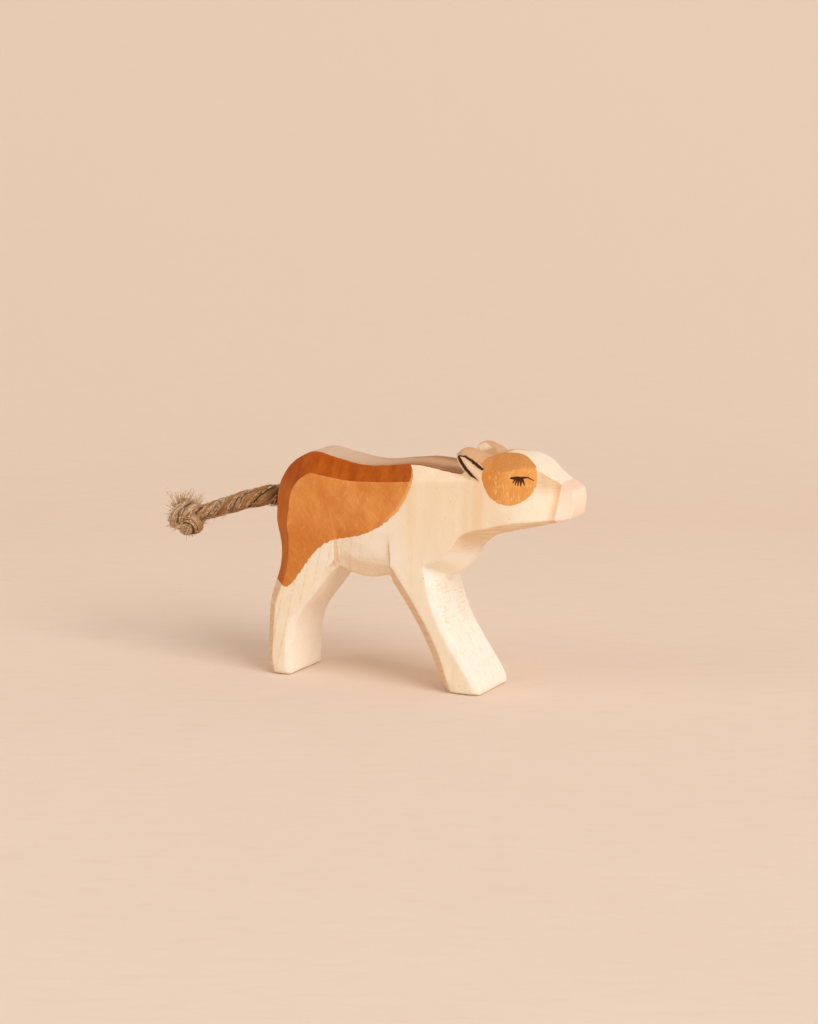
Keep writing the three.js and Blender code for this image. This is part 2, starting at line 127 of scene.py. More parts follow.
def set_mode(mode):
    bpy.ops.object.mode_set(mode=mode)


def bezier_line(name, points, swell):
    """A curve through the points, with the rope's swell at each."""
    clear_selection()
    bpy.ops.curve.primitive_bezier_curve_add()
    line = bpy.context.object
    line.name = name
    spline = line.data.splines[0]
    spline.bezier_points.add(len(points) - 2)
    spline.resolution_u = CURVE_STEPS
    for anchor, point, size in zip(spline.bezier_points, points, swell):
        anchor.co = point
        anchor.radius = size
        anchor.handle_left_type = "AUTO"
        anchor.handle_right_type = "AUTO"
    return line


tail_points = [MOUTH + HOLE_DIRECTION * ROPE_IN_HOLE, MOUTH]
tail_points += [MOUTH + Vector((-back, 0, -drop)) * MM for back, drop in TAIL_ROUTE]
tail_line = bezier_line("tail_line", tail_points, ROPE_SWELL)
print("tail line:", len(tail_points), "points")

# %% [markdown]
# Later steps ask where the tail is at a given distance behind the rump, and which way it runs there. So
# the curve is read out once as many short stretches, with their distances added up.

# %% Measure along a line
TAIL_STRETCHES = 24


def line_points(line, steps):
    anchors = line.data.splines[0].bezier_points
    points = [anchors[0].co.copy()]
    for a, b in zip(anchors, anchors[1:]):
        points += interpolate_bezier(a.co, a.handle_right, b.handle_left, b.co, steps)[1:]
    return points


def reaches_along(points, first):
    reaches = [first]
    for a, b in zip(points, points[1:]):
        reaches.append(reaches[-1] + (b - a).length)
    return reaches


def place_on(points, reaches, reach):
    """Point and heading of a line at a reach in metres."""
    for i, after in enumerate(reaches[1:]):
        if after >= reach or i == len(reaches) - 2:
            a, b = points[i], points[i + 1]
            share = (reach - reaches[i]) / (after - reaches[i])
            return a.lerp(b, share), (b - a).normalized()


def on_tail(reach):
    return place_on(tail_path, tail_reaches, reach)


tail_path = line_points(tail_line, TAIL_STRETCHES)
tail_reaches = reaches_along(tail_path, -ROPE_IN_HOLE)
print("tail line:", round(tail_reaches[-1] / MM, 1), "mm behind the rump")

# %% [markdown]
# ## Laying the rope
# Hemp rope is three fat strands twisted round each other. Three circles are swept along a screw, straight
# along X, and the result is bent onto a line. A tube with a bump map would be quicker, but its edge would
# stay smooth, and the edge of a rope is what the eye reads first.

# %% Three circles for the strands
LAY_PITCH = 23 * MM
STRAND_RADIUS = 1.7 * MM
LAY_RADIUS = 0.86 * MM
STRANDS = 3
STRAND_SIDES = 18


def pick(piece):
    """Select one piece alone and make it the active one."""
    clear_selection()
    piece.select_set(True)
    bpy.context.view_layer.objects.active = piece


def apply_modifiers(piece):
    pick(piece)
    for modifier in list(piece.modifiers):
        bpy.ops.object.modifier_apply(modifier=modifier.name)


def strand_circles(name):
    """Three circles square to X, side by side round the rope's axis."""
    clear_selection()
    for strand in range(STRANDS):
        angle = 2 * math.pi * strand / STRANDS
        bpy.ops.mesh.primitive_circle_add(
            vertices=STRAND_SIDES,
            radius=STRAND_RADIUS,
            location=(0, LAY_RADIUS * math.cos(angle), LAY_RADIUS * math.sin(angle)),
            rotation=(0, math.pi / 2, 0),
        )
        bpy.context.object.name = f"{name}_{strand}"
    for strand in range(STRANDS):
        bpy.data.objects[f"{name}_{strand}"].select_set(True)
    bpy.ops.object.join()
    circles = bpy.context.object
    circles.name = name
    bpy.ops.object.transform_apply(location=True, rotation=True, scale=True)
    return circles


print("strands of", 2 * STRAND_RADIUS / MM, "mm, one turn every", LAY_PITCH / MM, "mm")

# %% [markdown]
# The sweep stores two things at each point for the finish: its place on its own strand, so that the
# fibres can run along the strands, and how deep it lies in the groove between two strands. A little
# displacement then makes the strands lumpy.

# %% Sweep the strands and bend them onto a line
RING_STEP = 0.4 * MM
FIBRE_TURN = 0.75
STRAND_APART = 4
LUMP_SIZE, LUMP_DEPTH = 0.9 * MM, 0.5 * MM
ROPE_END_REACH = 37.6 * MM
ROPE_RADIUS = LAY_RADIUS + STRAND_RADIUS
lumps = bpy.data.textures.new("strand lumps", "CLOUDS")
lumps.noise_scale = LUMP_SIZE
lumps.noise_depth = 3


def note_strands(rope, length, steps):
    """Store each point's place on its strand and its distance from the rope's axis."""
    rope.data.attributes.new("strand_place", "FLOAT_VECTOR", "POINT")
    rope.data.attributes.new("strand_crest", "FLOAT", "POINT")
    places = rope.data.attributes["strand_place"]
    crests = rope.data.attributes["strand_crest"]
    for i, point in enumerate(rope.data.vertices):
        ring, spot = divmod(i, STRANDS * STRAND_SIDES)
        strand, side = divmod(spot, STRAND_SIDES)
        along = length * ring / steps
        angle = 2 * math.pi * (side / STRAND_SIDES - FIBRE_TURN * along / LAY_PITCH)
        across = math.cos(angle) + STRAND_APART * strand
        places.data[i].vector = (across, math.sin(angle), along / STRAND_RADIUS)
        crests.data[i].value = math.hypot(point.co.y, point.co.z) / ROPE_RADIUS


def laid_rope(name, length, line):
    rope = strand_circles(name)
    steps = round(length / RING_STEP)
    screw = rope.modifiers.new("Lay", "SCREW")
    screw.axis = "X"
    screw.screw_offset = length
    screw.angle = -2 * math.pi * length / LAY_PITCH
    screw.steps = steps
    screw.render_steps = steps
    apply_modifiers(rope)
    note_strands(rope, length, steps)
    rough = rope.modifiers.new("Lumps", "DISPLACE")
    rough.texture = lumps
    rough.strength = LUMP_DEPTH
    rough.mid_level = 0.5
    follow = rope.modifiers.new("Follow", "CURVE")
    follow.object = line
    follow.deform_axis = "POS_X"
    apply_modifiers(rope)
    return rope


rope_root = laid_rope("rope_root", ROPE_IN_HOLE + ROPE_END_REACH, tail_line)
print("whole rope:", len(rope_root.data.polygons), "faces")

# %% [markdown]
# ## The rope's two stretches
# The rope bends in two places: sideways close to the rump, and up and down a little further out. So it
# is cut once between the two bends, where both stretches move as one and the cut can't open. The rope is
# laid in one piece and cut afterwards, so that the strands run on across the cut without a step.

# %% Cut the rope and close its ends
CUT_REACH = 6.5 * MM
SMOOTH_ANGLE = math.radians(60)


def close_ends(rope):
    pick(rope)
    set_mode("EDIT")
    bpy.ops.mesh.select_all(action="SELECT")
    bpy.ops.mesh.fill_holes(sides=0)
    bpy.ops.mesh.normals_make_consistent(inside=False)
    set_mode("OBJECT")
    bpy.ops.object.shade_smooth_by_angle(angle=SMOOTH_ANGLE)


def cut_rope(rope, ring, name):
    """Separate everything beyond a ring of the sweep as a new piece."""
    pick(rope)
    set_mode("EDIT")
    bpy.ops.mesh.select_mode(type="FACE")
    bpy.ops.mesh.select_all(action="DESELECT")
    set_mode("OBJECT")
    for face in rope.data.polygons:
        face.select = min(face.vertices) // (STRANDS * STRAND_SIDES) >= ring
    set_mode("EDIT")
    bpy.ops.mesh.separate(type="SELECTED")
    set_mode("OBJECT")
    beyond = [piece for piece in bpy.context.selected_objects if piece != rope][0]
    beyond.name = name
    return beyond


rope_main = cut_rope(rope_root, round((ROPE_IN_HOLE + CUT_REACH) / RING_STEP), "rope_main")
close_ends(rope_root)
close_ends(rope_main)
print("rope stretches:", len(rope_root.data.polygons), "and", len(rope_main.data.polygons), "faces")

# %% [markdown]
# ## The knot
# The rope's end is tied in a tight overhand knot. Its line is a closed clover loop round the tail's line:
# three lobes that pass over and under each other. Both ends of the loop meet in the middle of the knot,
# where nobody sees them. The same laid rope, drawn a little thinner by the pull, is bent onto that line.

# %% Tie the knot
KNOT_REACH = 28 * MM
KNOT_LENGTH = 11.2 * MM
LOBE = 1.1 * MM
LOBE_RISE = 2.6 * MM
KNOT_TURN = 0.5
KNOT_SWELL = 0.92
KNOT_POINTS = 40
KNOT_STRETCHES = 8
SIDEWAYS = Vector((0, 1, 0))
knot_start, knot_heading = on_tail(KNOT_REACH)
knot_middle = knot_start + knot_heading * KNOT_LENGTH / 2
upright = knot_heading.cross(SIDEWAYS).normalized()
upright = upright if upright.z > 0 else -upright


def knot_point(share):
    t = 2 * math.pi * share + KNOT_TURN
    return (
        knot_middle
        + SIDEWAYS * LOBE * (math.sin(t) + 2 * math.sin(2 * t))
        + upright * LOBE * (math.cos(t) - 2 * math.cos(2 * t))
        - knot_heading * LOBE_RISE * math.sin(3 * t)
    )


knot_points = [knot_point(i / KNOT_POINTS) for i in range(KNOT_POINTS + 1)]
knot_line = bezier_line("knot_line", knot_points, [KNOT_SWELL] * len(knot_points))
knot_path = line_points(knot_line, KNOT_STRETCHES)
knot_reaches = reaches_along(knot_path, 0)
rope_knot = laid_rope("rope_knot", knot_reaches[-1], knot_line)
close_ends(rope_knot)
for line in (tail_line, knot_line):
    bpy.data.objects.remove(line)
print("rope in the knot:", round(knot_reaches[-1] / MM, 1), "mm")

# %% [markdown]
# ## Loose fibres
# Hemp is hairy. Single fibres lie along the strands, others stand off them, and the cut end behind the
# knot is a small brush. Each fibre is a thin tapered curve. All fibres of one piece are splines of one
# curve object, which then becomes a mesh.

# %% Make fibres from their courses
chance = random.Random(7)
HAIR = 0.12 * MM
KNOT_FIBRE = 0.2 * MM
TUFT_FIBRE = 0.28 * MM


def fibre_bundle(name, courses, thickness, tip):
    """Each course is a list of points. The fibre narrows along it to the share tip."""
    clear_selection()
    bpy.ops.curve.primitive_bezier_curve_add()
    bundle = bpy.context.object
    bundle.name = name
    bundle.data.splines.clear()
    bundle.data.bevel_depth = thickness / 2
    bundle.data.bevel_resolution = 0
    bundle.data.use_fill_caps = True
    for course in courses:
        spline = bundle.data.splines.new("POLY")
        spline.points.add(len(course) - 1)
        for i, (anchor, point) in enumerate(zip(spline.points, course)):
            anchor.co = (*point, 1)
            anchor.radius = 1 - (1 - tip) * i / (len(course) - 1)
    bpy.ops.object.convert(target="MESH")
    return bpy.context.object


def any_direction():
    while True:
        v = Vector([chance.uniform(-1, 1) for _ in range(3)])
        if 0.1 < v.length < 1:
            return v.normalized()


def shares_of(steps):
    return [i / steps for i in range(steps + 1)]


def springing(root, direction, length, curl):
    """A free fibre that leaves its root straight and curls more and more."""
    return [root + direction * length * share + curl * share ** 2 for share in shares_of(5)]


print("hairs of", HAIR / MM, "mm, fibres of the brush", TUFT_FIBRE / MM, "mm")

# %% [markdown]
# Fibres that lie on the rope follow the turn of its strands. Those that stand off start at the surface
# and lean along the rope, as fibres do that were pulled through a hole. Under the rope, close to the rump,
# a few yarns stand out as small loops. Each loop is given by its middle, width and drop in millimetres.

# %% Set fibres along the rope
ROOT_FIBRES, ROOT_HAIRS = 60, 26
MAIN_FIBRES, MAIN_HAIRS = 260, 70
HAIR_TIP = 0.4
LYING_RUN = (2.5, 8)
LYING_LIFT = (-0.16, 0.06)
HAIR_LENGTH = (1.2, 3.2)
RUMP_LOOPS = ((3.1, 1.2, 0.8), (4.3, 1.2, 0.7), (5.4, 1.7, 0.4))
LOOP_YARN = 0.3 * MM
LOOP_ANGLE = math.radians(120)
LOOP_TIP = 0.9


def on_rope(reach, angle, lift):
    """A point on the rope's round, lifted off it a little."""
    point, heading = on_tail(reach)
    out = SIDEWAYS * math.cos(angle) + heading.cross(SIDEWAYS) * math.sin(angle)
    taper = 1.13 - 0.25 * reach / KNOT_REACH
    return point + out * (ROPE_RADIUS * taper + lift)


def lying_fibres(first, last, count):
    for _ in range(count):
        start = chance.uniform(first, last - 2 * MM)
        run = min(chance.uniform(*LYING_RUN) * MM, last - start)
        angle = chance.uniform(0, 2 * math.pi)
        turn = -2 * math.pi / LAY_PITCH * chance.uniform(0.7, 1.5)
        lift = chance.uniform(*LYING_LIFT) * MM
        yield [
            on_rope(start + run * share, angle + turn * run * share, lift + 0.2 * MM * share ** 4)
            for share in shares_of(6)
        ]


def standing_hairs(first, last, count):
    for _ in range(count):
        reach = chance.uniform(first, last)
        angle = chance.uniform(0, 2 * math.pi)
        root = on_rope(reach, angle, -0.3 * MM)
        heading = on_tail(reach)[1] * chance.choice([-1, 1, 1])
        across = (root - on_tail(reach)[0]).normalized()
        direction = (heading * chance.uniform(0.5, 1) + across * chance.uniform(0.1, 0.5)).normalized()
        length = chance.uniform(*HAIR_LENGTH) * MM
        yield springing(root, direction, length, any_direction() * 0.5 * MM)


def rump_loops():
    """Loops of yarn under the rope, left over where it was pushed into its hole."""
    for middle, width, drop in RUMP_LOOPS:
        turns = [math.pi * share for share in shares_of(10)]
        reaches = [middle - width / 2 * math.cos(turn) for turn in turns]
        lifts = [drop * math.sin(turn) - 0.1 for turn in turns]
        yield [on_rope(reach * MM, LOOP_ANGLE, lift * MM) for reach, lift in zip(reaches, lifts)]


root_courses = list(lying_fibres(0.2 * MM, CUT_REACH, ROOT_FIBRES))
root_courses += standing_hairs(0.6 * MM, 6 * MM, ROOT_HAIRS)
main_courses = list(lying_fibres(CUT_REACH, KNOT_REACH + 1 * MM, MAIN_FIBRES))
main_courses += standing_hairs(7 * MM, 27 * MM, MAIN_HAIRS)
root_hairs = fibre_bundle("root_hairs", root_courses, HAIR, HAIR_TIP)
main_hairs = fibre_bundle("main_hairs", main_courses, HAIR, HAIR_TIP)
loops = fibre_bundle("loops", rump_loops(), LOOP_YARN, LOOP_TIP)
print("fibres on the rope:", len(root_courses), "and", len(main_courses))

# %% [markdown]
# On the knot the fibres follow the loops. The brush fans up and back from the rope's cut end in small
# locks, longest in the middle of the fan.

# %% Set fibres on the knot and at the cut end
KNOT_FIBRES, KNOT_FUZZ = 230, 170
KNOT_TIP, BRUSH_TIP = 0.35, 0.3
KNOT_SKIN = 3.2 * MM
FUZZ_REACH = 4.3 * MM
FUZZ_LENGTH = (1, 2.6)
BRUSH_LOCKS, LOCK_FIBRES = 52, 7
BRUSH_SWING = 1.1
BRUSH_ROOT = (2.6, 3.8)
STRAY_LENGTHS = [0] * 29 + [3]


def knot_fibres(count):
    courses = []
    while len(courses) < count:
        start = chance.uniform(0, knot_reaches[-1] - 3 * MM)
        run = min(chance.uniform(2, 5) * MM, knot_reaches[-1] - start)
        lean = any_direction()
        lift = chance.uniform(-0.1, 0.12) * MM
        course = []
        for share in shares_of(5):
            point, heading = place_on(knot_path, knot_reaches, start + run * share)
            out = lean.cross(heading).normalized()
            out = Quaternion(heading, -2 * math.pi * run * share / LAY_PITCH) @ out
            course.append(point + out * (ROPE_RADIUS * KNOT_SWELL + lift))
        if (course[2] - knot_middle).length > KNOT_SKIN:
            courses.append(course)
    return courses


def knot_fuzz(count):
    for _ in range(count):
        out = any_direction()
        direction = (out + any_direction() * 0.9).normalized()
        root = knot_middle + out * FUZZ_REACH
        length = chance.uniform(*FUZZ_LENGTH) * MM
        yield springing(root, direction, length, any_direction() * 0.8 * MM)


def brush_fibres(locks, fibres):
    """Locks of fibres that bend together, with a long stray now and then."""
    for _ in range(locks):
        swing = chance.choice([chance.gauss(BRUSH_SWING, 0.5), chance.uniform(-0.5, 2.3)])
        lean = SIDEWAYS * chance.gauss(0, 0.4)
        in_middle = math.exp(-(((swing - BRUSH_SWING) / 0.7) ** 2))
        lock_length = 2.2 + 2.6 * in_middle * chance.uniform(0.4, 1.1)
        lock_curl = any_direction() * 1.5 - knot_heading * chance.uniform(-0.4, 2)
        for _ in range(fibres):
            turn = swing + chance.gauss(0, 0.1)
            out = knot_heading * math.cos(turn) + upright * math.sin(turn) + lean + any_direction() * 0.1
            out.normalize()
            root = knot_middle + out * chance.uniform(*BRUSH_ROOT) * MM
            length = lock_length * chance.uniform(0.6, 1.1) + chance.choice(STRAY_LENGTHS)
            curl = lock_curl + any_direction() * 0.5
            yield springing(root, out, length * MM, curl * MM)


knot_courses = knot_fibres(KNOT_FIBRES) + list(knot_fuzz(KNOT_FUZZ))
knot_hairs = fibre_bundle("knot_hairs", knot_courses, KNOT_FIBRE, KNOT_TIP)
rope_tuft = fibre_bundle("rope_tuft", brush_fibres(BRUSH_LOCKS, LOCK_FIBRES), TUFT_FIBRE, BRUSH_TIP)
print("brush:", len(rope_tuft.data.polygons), "faces")

# %% [markdown]
# ## Node helpers
# All finishes are node trees. Short helpers keep them readable: they add a node to the tree at hand and
# wire its inputs in order, join masks, make a soft step, or lay one colour over another.

# %% Helpers for node trees


def srgb(red, green, blue):
    """A colour as it is read from a screen, made linear."""
    def linear(value):
        value /= 255
        return value / 12.92 if value <= 0.04045 else ((value + 0.055) / 1.055) ** 2.4
    return (linear(red), linear(green), linear(blue), 1)


def new_finish(name):
    finish = bpy.data.materials.new(name)
    finish.use_nodes = True
    return finish


def node(kind, *inputs, out=0, **settings):
    made = tree.nodes.new("ShaderNode" + kind)
    for name, value in settings.items():
        setattr(made, name, value)
    for socket, value in zip(made.inputs, inputs):
        if isinstance(value, bpy.types.NodeSocket):
            tree.links.new(value, socket)
        elif value is not None:
            socket.default_value = value
    return made.outputs[out]


def calc(operation, a, b=0, c=0):
    return node("Math", a, b, c, operation=operation)


def minus(a, b):
    return calc("SUBTRACT", a, b)


def times_plus(a, b, c):
    return calc("MULTIPLY_ADD", a, b, c)


def vector(operation, *values, out=0):
    return node("VectorMath", *values, out=out, operation=operation)


def both(*masks):
    """Where all of the masks are, as their product."""
    return reduce(lambda a, b: calc("MULTIPLY", a, b), masks)


def either(*masks):
    """Where any of the masks is, as the largest of them."""
    return reduce(lambda a, b: calc("MAXIMUM", a, b), masks)


def step(value, low, high):
    return node("MapRange", value, low, high, 0, 1, interpolation_type="SMOOTHSTEP")


def mix(share, below, above):
    """A mix of two colours, which are inputs 6 and 7 of the node."""
    return node("Mix", share, *[None] * 5, below, above, out=2, data_type="RGBA")


def tint(below, mask, share, colour):
    """Lay a colour over what is below, where the mask is, as strongly as the share says."""
    return mix(both(mask, share), below, colour)


def noise(space, stretch, detail=2, roughness=0.5):
    spot = vector("MULTIPLY", space, stretch)
    return node("TexNoise", spot, None, 1, detail, roughness)


def wire(finish, socket, value):
    tree.links.new(value, finish.node_tree.nodes["Principled BSDF"].inputs[socket])


def fix(finish, socket, value):
    finish.node_tree.nodes["Principled BSDF"].inputs[socket].default_value = value


def count_nodes(what):
    print(what + ":", len(tree.nodes), "nodes so far")


print("helpers ready")

# %% [markdown]
# ## Hemp
# Hemp is dull and brown, with pale fibres between darker ones. The grooves between the strands get a painted
# shade. The streaks read the place on each strand that the sweep stored, stretched along it, so every strand
# shows its own fibres. Where the rope enters the rump it is dark with glue and shade, and the pulled knot
# shows more pale yarn.

# %% Hemp finish
YARN_BROWN, YARN_STRAW = srgb(126, 80, 44), srgb(186, 136, 88)
THREAD_PALE = srgb(218, 180, 136)
PATCH_BROWN = srgb(124, 80, 46)
KNOT_PALE = srgb(226, 200, 168)
GROOVE_SHADE = srgb(76, 44, 22)
RUMP_SHADE = srgb(70, 40, 20)
DULL_GLOSS = 0.1
hemp = new_finish("hemp_rope")
tree = hemp.node_tree
strand_place = node("Attribute", out=1, attribute_name="strand_place")
strand_crest = node("Attribute", out=2, attribute_name="strand_crest")
yarn = noise(strand_place, (4.5, 4.5, 0.4), 4, 0.6)
thread = noise(strand_place, (9, 9, 0.5), 3, 0.65)
patches = noise(strand_place, (0.7, 0.7, 0.3), 2)
straw = mix(step(yarn, 0.3, 0.7), YARN_BROWN, YARN_STRAW)
straw = tint(straw, step(thread, 0.52, 0.72), 0.8, THREAD_PALE)
straw = tint(straw, step(patches, 0.45, 0.75), 0.35, PATCH_BROWN)
rope_x = node("SeparateXYZ", node("TexCoord", out=3))
in_knot = step(rope_x, -70 * MM, -73 * MM)
straw = tint(straw, both(step(yarn, 0.4, 0.6), in_knot), 0.6, KNOT_PALE)
# Painted shade in the grooves between the strands, where they lie deep.
straw = tint(straw, step(strand_crest, 0.94, 0.76), 0.8, GROOVE_SHADE)
straw = tint(straw, step(rope_x, -51.5 * MM, -45.5 * MM), 0.7, RUMP_SHADE)
wire(hemp, "Base Color", straw)
wire(hemp, "Normal", node("Bump", 0.9, 0.0002, None, calc("ADD", yarn, thread)))
fix(hemp, "Roughness", 0.9)
fix(hemp, "Specular IOR Level", DULL_GLOSS)
count_nodes("hemp")

# %% [markdown]
# Loose fibres are paler than the rope, because light shines through them from all sides. Their tone
# changes from fibre to fibre, with a noise that is as fine as the gaps between them.

# %% Loose fibre finish
FIBRE_BROWN, FIBRE_PALE = srgb(188, 138, 90), srgb(244, 224, 190)
fibre = new_finish("hemp_fibre")
tree = fibre.node_tree
fibre_place = node("TexCoord", out=3)
fibre_tone = noise(fibre_place, (1300, 1300, 1300), 2)
wire(fibre, "Base Color", mix(step(fibre_tone, 0.36, 0.62), FIBRE_BROWN, FIBRE_PALE))
fix(fibre, "Roughness", 0.8)
fix(fibre, "Specular IOR Level", 0.15)
count_nodes("fibre")

# %% [markdown]
# Each piece gets its finish before the fibres are joined to it. Joining keeps both finishes, one for the
# strands and one for the fibres.

# %% Finish the rope and join the fibres


def dress(piece, finish):
    piece.data.materials.clear()
    piece.data.materials.append(finish)


def join_into(piece, extra):
    pick(piece)
    extra.select_set(True)
    bpy.ops.object.join()


join_into(root_hairs, loops)
for piece, hairs in ((rope_root, root_hairs), (rope_main, main_hairs), (rope_knot, knot_hairs)):
    dress(piece, hemp)
    dress(hairs, fibre)
    join_into(piece, hairs)
    print(piece.name, [slot.name for slot in piece.material_slots], len(piece.data.polygons), "faces")
dress(rope_tuft, fibre)

# %% [markdown]
# ## The tail's pieces in place
# The two stretches of rope are baked where they lie, and the knot and its brush ride on the free tail.

# %% Bake the stretches and tie the knot and brush to the tail
SWING_START, SWING_END = 0.8 * MM, 5.2 * MM
LIFT_START, LIFT_END = 7.4 * MM, 13 * MM
CORD_LENGTH = ROPE_END_REACH - CUT_REACH
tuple(on_tail(SWING_START)[0])
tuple(on_tail(SWING_END)[0])
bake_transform(rope_root)
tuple(on_tail(LIFT_START)[0])
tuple(on_tail(LIFT_END)[0])
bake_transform(rope_main)
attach(rope_knot, "tail")
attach(rope_tuft, "tail")
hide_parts("tail_shank", "tail_root")
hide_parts("tail_rope")
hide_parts("tail_knot")
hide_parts("tail_tuft")
cord_reaches = [CUT_REACH + CORD_LENGTH * share for share in shares_of(30)]
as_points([on_tail(reach)[0] for reach in cord_reaches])
print("cord:", round(CORD_LENGTH / MM, 1), "mm from the cut to the knot's middle")

# %% [markdown]
# ## Glue in the hole
# A plug of dried glue holds the rope at the bottom of its hole. It keeps its plain shape, since it only
# shows as a rim, and gets a cloudy yellow-white finish.

# %% Glue finish
GLUE_YELLOW, GLUE_WHITE = srgb(224, 206, 158), srgb(240, 228, 190)
glue = new_finish("dried_glue")
tree = glue.node_tree
glue_tone = noise(node("TexCoord", out=3), (900, 900, 900), 2)
wire(glue, "Base Color", mix(glue_tone, GLUE_YELLOW, GLUE_WHITE))
fix(glue, "Roughness", 0.4)
dress(frame["nodes"]["tail_glue"], glue)
count_nodes("glue")

# %% [markdown]
# ## The carved body
# The solid body has sharp facets. The real one was sanded, so every edge is a little round. A copy of the
# solid is merged, remeshed on a fine grid and smoothed a few times: that rounds all edges alike, as
# sandpaper does. A bevel modifier would need clean edge loops, which a carved block doesn't have.

# %% Sand a copy of the body
GRID = 0.4 * MM
MERGE_GAP = 0.01 * MM
SANDING_PASSES = 3
pick(frame["nodes"]["body"])
bpy.ops.object.duplicate()
body = bpy.context.object
body.name = "carved_body"
body.parent = None
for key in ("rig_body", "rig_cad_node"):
    del body[key]
set_mode("EDIT")
bpy.ops.mesh.select_all(action="SELECT")
bpy.ops.mesh.remove_doubles(threshold=MERGE_GAP)
set_mode("OBJECT")
grid = body.modifiers.new("Grid", "REMESH")
grid.mode = "VOXEL"
grid.voxel_size = GRID
sanding = body.modifiers.new("Sanding", "SMOOTH")
sanding.factor = 0.5
sanding.iterations = SANDING_PASSES
apply_modifiers(body)
bpy.ops.object.shade_smooth()
print("carved body:", len(body.data.polygons), "faces")

# %% [markdown]
# The feet are rounder than the rest, from standing and sliding. A vertex group that fades out above the
# sole limits a stronger smoothing to them.

# %% Round the feet
SOLE_LOW, SOLE_HIGH = 2 * MM, 4.4 * MM
ROUNDING_PASSES = 40
sole = body.vertex_groups.new(name="sole")
for point in body.data.vertices:
    weight = min((SOLE_HIGH - point.co.z) / (SOLE_HIGH - SOLE_LOW), 1)
    if weight > 0:
        sole.add([point.index], weight, "REPLACE")
rounding = body.modifiers.new("Rounding", "SMOOTH")
rounding.factor = 0.5
rounding.iterations = ROUNDING_PASSES
rounding.vertex_group = "sole"
apply_modifiers(body)
print("rounded feet: body is", round(body.dimensions.z / MM, 1), "mm high")

# %% [markdown]
# A hand-held knife leaves nothing quite flat. A very shallow, broad displacement gives the flanks the slow
# waves that catch the light.

# %% Let the flanks wave a little
WAVE_LENGTH, WAVE_DEPTH = 9 * MM, 0.3 * MM
waves = bpy.data.textures.new("knife waves", "CLOUDS")
waves.noise_scale = WAVE_LENGTH
waves.noise_depth = 1
wave = body.modifiers.new("Waves", "DISPLACE")
wave.texture = waves
wave.strength = WAVE_DEPTH
wave.mid_level = 0.5
apply_modifiers(body)
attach(body, "calf")
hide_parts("body")
print("body with waves:", [round(v / MM, 1) for v in body.dimensions], "mm")

# %% [markdown]
# ## Bare wood
# The wood is pale and close-grained. All patterns read Object coordinates in millimetres, so they run
# through the block as grain does. The direction that a face looks in is needed too, because the stain
# took differently on flat sides and on cut bevels.

# %% Start the wood finish: places and directions
wood = new_finish("stained_wood")
tree = wood.node_tree
place = vector("SCALE", node("TexCoord", out=3))
place.node.inputs[3].default_value = 1 / MM
x, y, z = node("SeparateXYZ", place).node.outputs
face_x, face_y, face_z = node("SeparateXYZ", node("TexCoord", out=1)).node.outputs
side_facing = calc("ABSOLUTE", face_y)
half_width = calc("ABSOLUTE", y)
print("wood finish started")

# %% [markdown]
# The grain runs upright. A broad noise makes the wood warmer in places, a long narrow one gives the soft
# bands on the cheek, and a fine one the fibres. Legs, nose and the sides of the belly are paler; low down
# this is partly painted light bounced up from the floor. The fronts of the legs, which face the lamp, are
# painted palest, as painted light.

# %% Grain and warmth
CREAM = srgb(249, 225, 193)
HONEY = srgb(245, 212, 173)
LIGHT_GRAIN = srgb(252, 234, 205)
PALE = srgb(250, 236, 212)
WHITEST_WOOD = srgb(250, 243, 235)
broad = noise(place, (0.09, 0.09, 0.03), 3)
bands = noise(place, (0.5, 0.5, 0.03), 3, 0.5)
fine_grain = noise(place, (4.2, 4.2, 0.3), 3, 0.6)
forward = step(face_x, 0.3, 0.6)
pale_end = either(step(z, 54, 32), step(x, 25, 33))
lit_foreleg_front = both(forward, step(z, 46, 36), step(x, -2, 2))
hind_side = both(step(x, 0, -6), step(z, 28, 36), step(side_facing, 0.9, 0.98))
lit_hind_leg_front = both(forward, step(z, 34, 26), step(x, -10, -14))
bare = mix(step(broad, 0.35, 0.75), CREAM, HONEY)
# Paler low down and on the nose; low down this is partly painted light bounced up from the floor.
bare = tint(bare, pale_end, 0.7, PALE)
# Painted light: the front of the forelegs, which faces the lamp, is painted nearly white.
bare = tint(bare, lit_foreleg_front, 0.8, WHITEST_WOOD)
bare = tint(bare, hind_side, 0.35, WHITEST_WOOD)
# Painted light on the front of the hind leg, which lies in the shade of the front leg and belly.
bare = tint(bare, lit_hind_leg_front, 0.6, WHITEST_WOOD)
bare = tint(bare, step(bands, 0.46, 0.7), 0.45, LIGHT_GRAIN)
bare = tint(bare, step(bands, 0.46, 0.3), 0.3, HONEY)
bare = tint(bare, step(fine_grain, 0.5, 0.8), 0.16, HONEY)
count_nodes("bare wood")

# %% [markdown]
# Sandpaper leaves fine scratches that cross each other. Each set is a noise drawn out along one slanting
# direction, of which only the thin lines at its middle level are kept. A second, patchy noise lets them
# come and go.

# %% Crossed scratches
SCRATCH_SETS = ((14, 1.8), (-36, 1.5), (46, 1.6))
SCRATCH_TAN = srgb(236, 196, 152)
MIDDLE_LEVEL = 0.5


def scratch_lines(angle, density):
    turned = node("Mapping", place, None, (0, math.radians(angle), 0))
    level = noise(turned, (density, 0.4, 0.06), 1)
    off_middle = calc("ABSOLUTE", minus(level, MIDDLE_LEVEL))
    patchy = noise(turned, (0.6, 0.4, 0.25), 2)
    return both(step(off_middle, 0.03, 0.006), step(patchy, 0.44, 0.62))


scratches = either(*[scratch_lines(angle, density) for angle, density in SCRATCH_SETS])
bare = tint(bare, scratches, 0.2, SCRATCH_TAN)
count_nodes("scratches")

# %% [markdown]
# Growth lines show on the hind leg and the belly as faint, broken lines. A few tiny dark pores are spread
# over the whole block.

